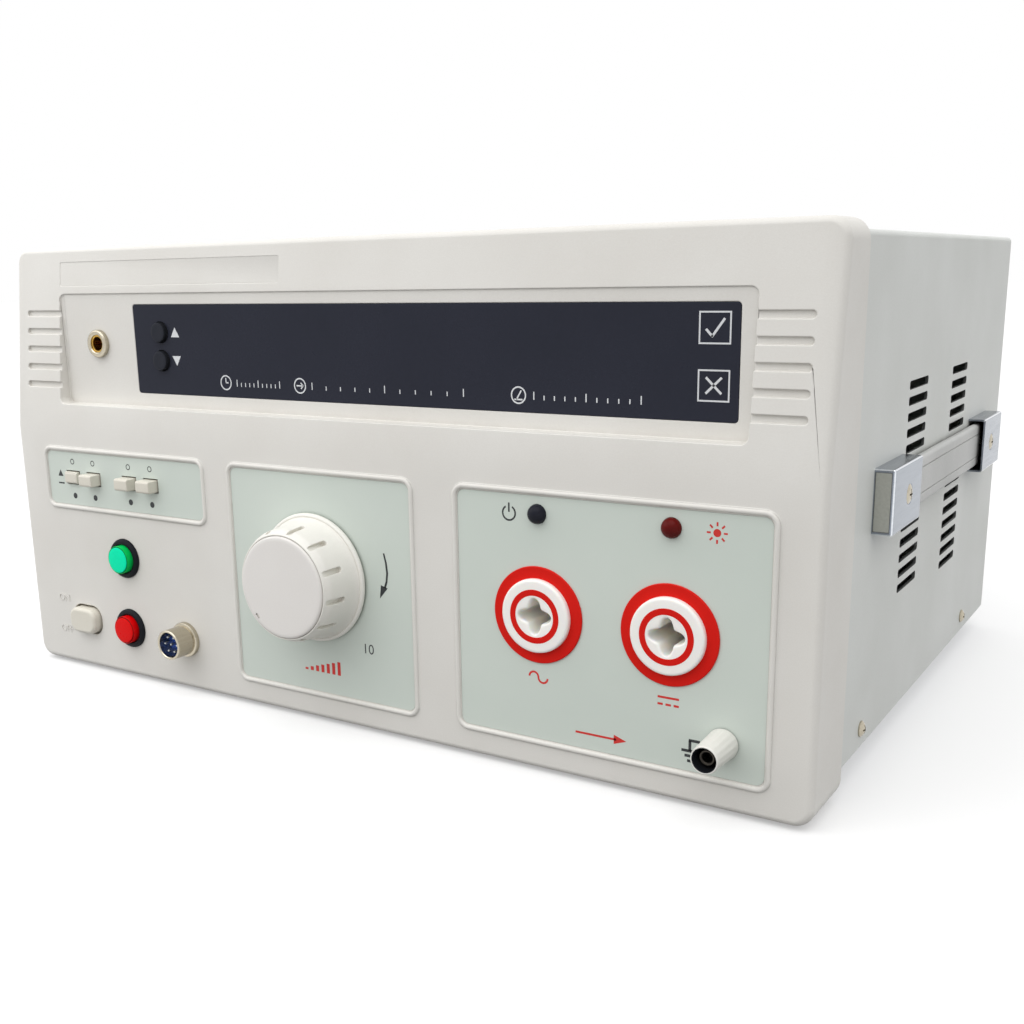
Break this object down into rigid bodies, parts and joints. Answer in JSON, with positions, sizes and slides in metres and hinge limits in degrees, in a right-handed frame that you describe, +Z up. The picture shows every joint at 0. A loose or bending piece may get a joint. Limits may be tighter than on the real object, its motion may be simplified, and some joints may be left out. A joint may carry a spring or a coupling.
{
  "type": "hipot tester",
  "caption": "Bench high-voltage withstand tester: cream bezel with display window, voltage knob, push buttons and two output sockets on a grey case with side strap handles.",
  "frame": {"origin": "on the bench, under the middle of the bounding box", "axes": "+X to the right seen from the front, +Y towards the back, +Z up"},
  "size_m": [0.4446, 0.3448, 0.2175],
  "materials": {
    "bezel_plastic": "moulded, fine matt texture",
    "smoked_window": "polished smoked sheet",
    "black_plastic": "satin",
    "nickel": "nickel plate",
    "brass": "bright",
    "label_film": "printed film, satin",
    "key_plastic": "satin",
    "green_cap": "glossy",
    "red_cap": "glossy",
    "blue_plastic": "glossy",
    "knob_plastic": "satin",
    "zinc_steel": "zinc plated",
    "copper_winding": "enamelled wire",
    "dark_lens": "unlit dark lens",
    "red_lens": "unlit red lens",
    "white_insulator": "smooth insulator",
    "red_disc": "flat red",
    "case_paint": "fine grained paint",
    "rubber": "moulded",
    "chrome": "bright plate",
    "strap_grey": "soft moulded strap over a spring-steel core",
    "core_iron": "varnished laminations",
    "coil_wrap": "copper winding under yellow tape",
    "epoxy": "potting",
    "lead_rubber": "silicone lead",
    "board_green": "solder mask"
  },
  "bodies": {
    "case": {"front_bezel": "bezel_plastic", "display_window": "smoked_window", "jack_ring": "nickel", "jack_sleeve": "brass", "switch_label_plate": "label_film", "knob_label_plate": "label_film", "output_label_plate": "label_film", "range_switch_bank": "black_plastic", "button_collars": "black_plastic", "power_switch": "black_plastic", "remote_shell": "nickel", "remote_insert": "blue_plastic", "remote_pins": "nickel", "regulator_winding": "copper_winding", "regulator_bracket": "zinc_steel", "ready_lamp": "dark_lens", "danger_lamp": "red_lens", "ac_socket": "white_insulator", "dc_socket": "white_insulator", "socket_discs": "red_disc", "socket_rings": "red_disc", "socket_contacts": "brass", "earth_contact": "nickel", "panel_nuts": "zinc_steel", "top_cover": "case_paint", "bottom_chassis": "zinc_steel", "rear_panel": "case_paint", "rubber_feet": "rubber", "case_screws": "nickel", "right_handle_caps": "chrome", "left_handle_caps": "chrome", "handle_screws": "nickel", "transformer_core": "core_iron", "transformer_coil": "coil_wrap", "rectifier_block": "epoxy", "output_leads": "lead_rubber", "control_board": "board_green", "board_parts": "black_plastic", "display_board": "board_green", "mains_inlet": "black_plastic", "fuse_holder": "black_plastic"},
    "knob_turning": {"voltage_knob": "knob_plastic", "knob_cap": "knob_plastic", "regulator_shaft": "zinc_steel", "regulator_arm": "brass"},
    "start_press_body": {"start_button": "green_cap"},
    "reset_press_body": {"reset_button": "red_cap"},
    "power_press_body": {"power_button": "key_plastic"},
    "range_1_body": {"range_button_1": "key_plastic"},
    "range_2_body": {"range_button_2": "key_plastic"},
    "range_3_body": {"range_button_3": "key_plastic"},
    "range_4_body": {"range_button_4": "key_plastic"},
    "timer_up_body": {"timer_up_button": "black_plastic"},
    "timer_down_body": {"timer_down_button": "black_plastic"},
    "right_front_strap": {"right_strap_front": "strap_grey"},
    "right_rear_strap": {"right_strap_rear": "strap_grey"},
    "left_front_strap": {"left_strap_front": "strap_grey"},
    "left_rear_strap": {"left_strap_rear": "strap_grey"},
    "earth_sleeve_body": {"earth_sleeve": "white_insulator"},
    "fuse_cap_body": {"fuse_cap": "black_plastic"}
  },
  "joints": [
    {"name": "knob_turn", "type": "hinge", "parent": "case", "child": "knob_turning", "pos_m": [-0.015, -0.1494, 0.0695], "axis": [0, 1, 0], "range_deg": [0, 280]},
    {"name": "start_press", "type": "slide", "parent": "case", "child": "start_press_body", "axis": [0, 1, 0], "range_m": [0, 0.003], "stiffness_N_per_m": 800},
    {"name": "reset_press", "type": "slide", "parent": "case", "child": "reset_press_body", "axis": [0, 1, 0], "range_m": [0, 0.003], "stiffness_N_per_m": 800},
    {"name": "power_press", "type": "slide", "parent": "case", "child": "power_press_body", "axis": [0, 1, 0], "range_m": [0, 0.004]},
    {"name": "range_press_1", "type": "slide", "parent": "case", "child": "range_1_body", "axis": [0, 1, 0], "range_m": [-0.004, 0]},
    {"name": "range_press_2", "type": "slide", "parent": "case", "child": "range_2_body", "axis": [0, 1, 0], "range_m": [0, 0.004]},
    {"name": "range_press_3", "type": "slide", "parent": "case", "child": "range_3_body", "axis": [0, 1, 0], "range_m": [0, 0.004]},
    {"name": "range_press_4", "type": "slide", "parent": "case", "child": "range_4_body", "axis": [0, 1, 0], "range_m": [0, 0.004]},
    {"name": "timer_up_press", "type": "slide", "parent": "case", "child": "timer_up_body", "axis": [0, 1, 0], "range_m": [0, 0.0012], "stiffness_N_per_m": 1200},
    {"name": "timer_down_press", "type": "slide", "parent": "case", "child": "timer_down_body", "axis": [0, 1, 0], "range_m": [0, 0.0012], "stiffness_N_per_m": 1200},
    {"name": "right_strap_lift", "type": "hinge", "parent": "case", "child": "right_front_strap", "pos_m": [0.2143, -0.0514, 0.11275], "axis": [0, 0, -1], "range_deg": [0, 14], "stiffness_Nm_per_rad": 1.5},
    {"name": "right_strap_bow", "type": "hinge", "parent": "right_front_strap", "child": "right_rear_strap", "pos_m": [0.2143, 0.0186, 0.11275], "axis": [0, 0, -1], "range_deg": [-28, 0]},
    {"name": "left_strap_lift", "type": "hinge", "parent": "case", "child": "left_front_strap", "pos_m": [-0.2143, -0.0514, 0.11275], "axis": [0, 0, 1], "range_deg": [0, 14], "stiffness_Nm_per_rad": 1.5},
    {"name": "left_strap_bow", "type": "hinge", "parent": "left_front_strap", "child": "left_rear_strap", "pos_m": [-0.2143, 0.0186, 0.11275], "axis": [0, 0, 1], "range_deg": [-28, 0]},
    {"name": "earth_sleeve_turn", "type": "hinge", "parent": "case", "child": "earth_sleeve_body", "pos_m": [0.1801, -0.1494, 0.0288], "axis": [0, -1, 0], "range_deg": [0, 720]},
    {"name": "fuse_cap_turn", "type": "hinge", "parent": "case", "child": "fuse_cap_body", "pos_m": [-0.105, 0.1574, 0.058], "axis": [0, 1, 0], "range_deg": [0, 90]}
  ],
  "couplings": [
    {"joint": "right_strap_bow", "follows": "right_strap_lift", "ratio": -2},
    {"joint": "left_strap_bow", "follows": "left_strap_lift", "ratio": -2}
  ]
}
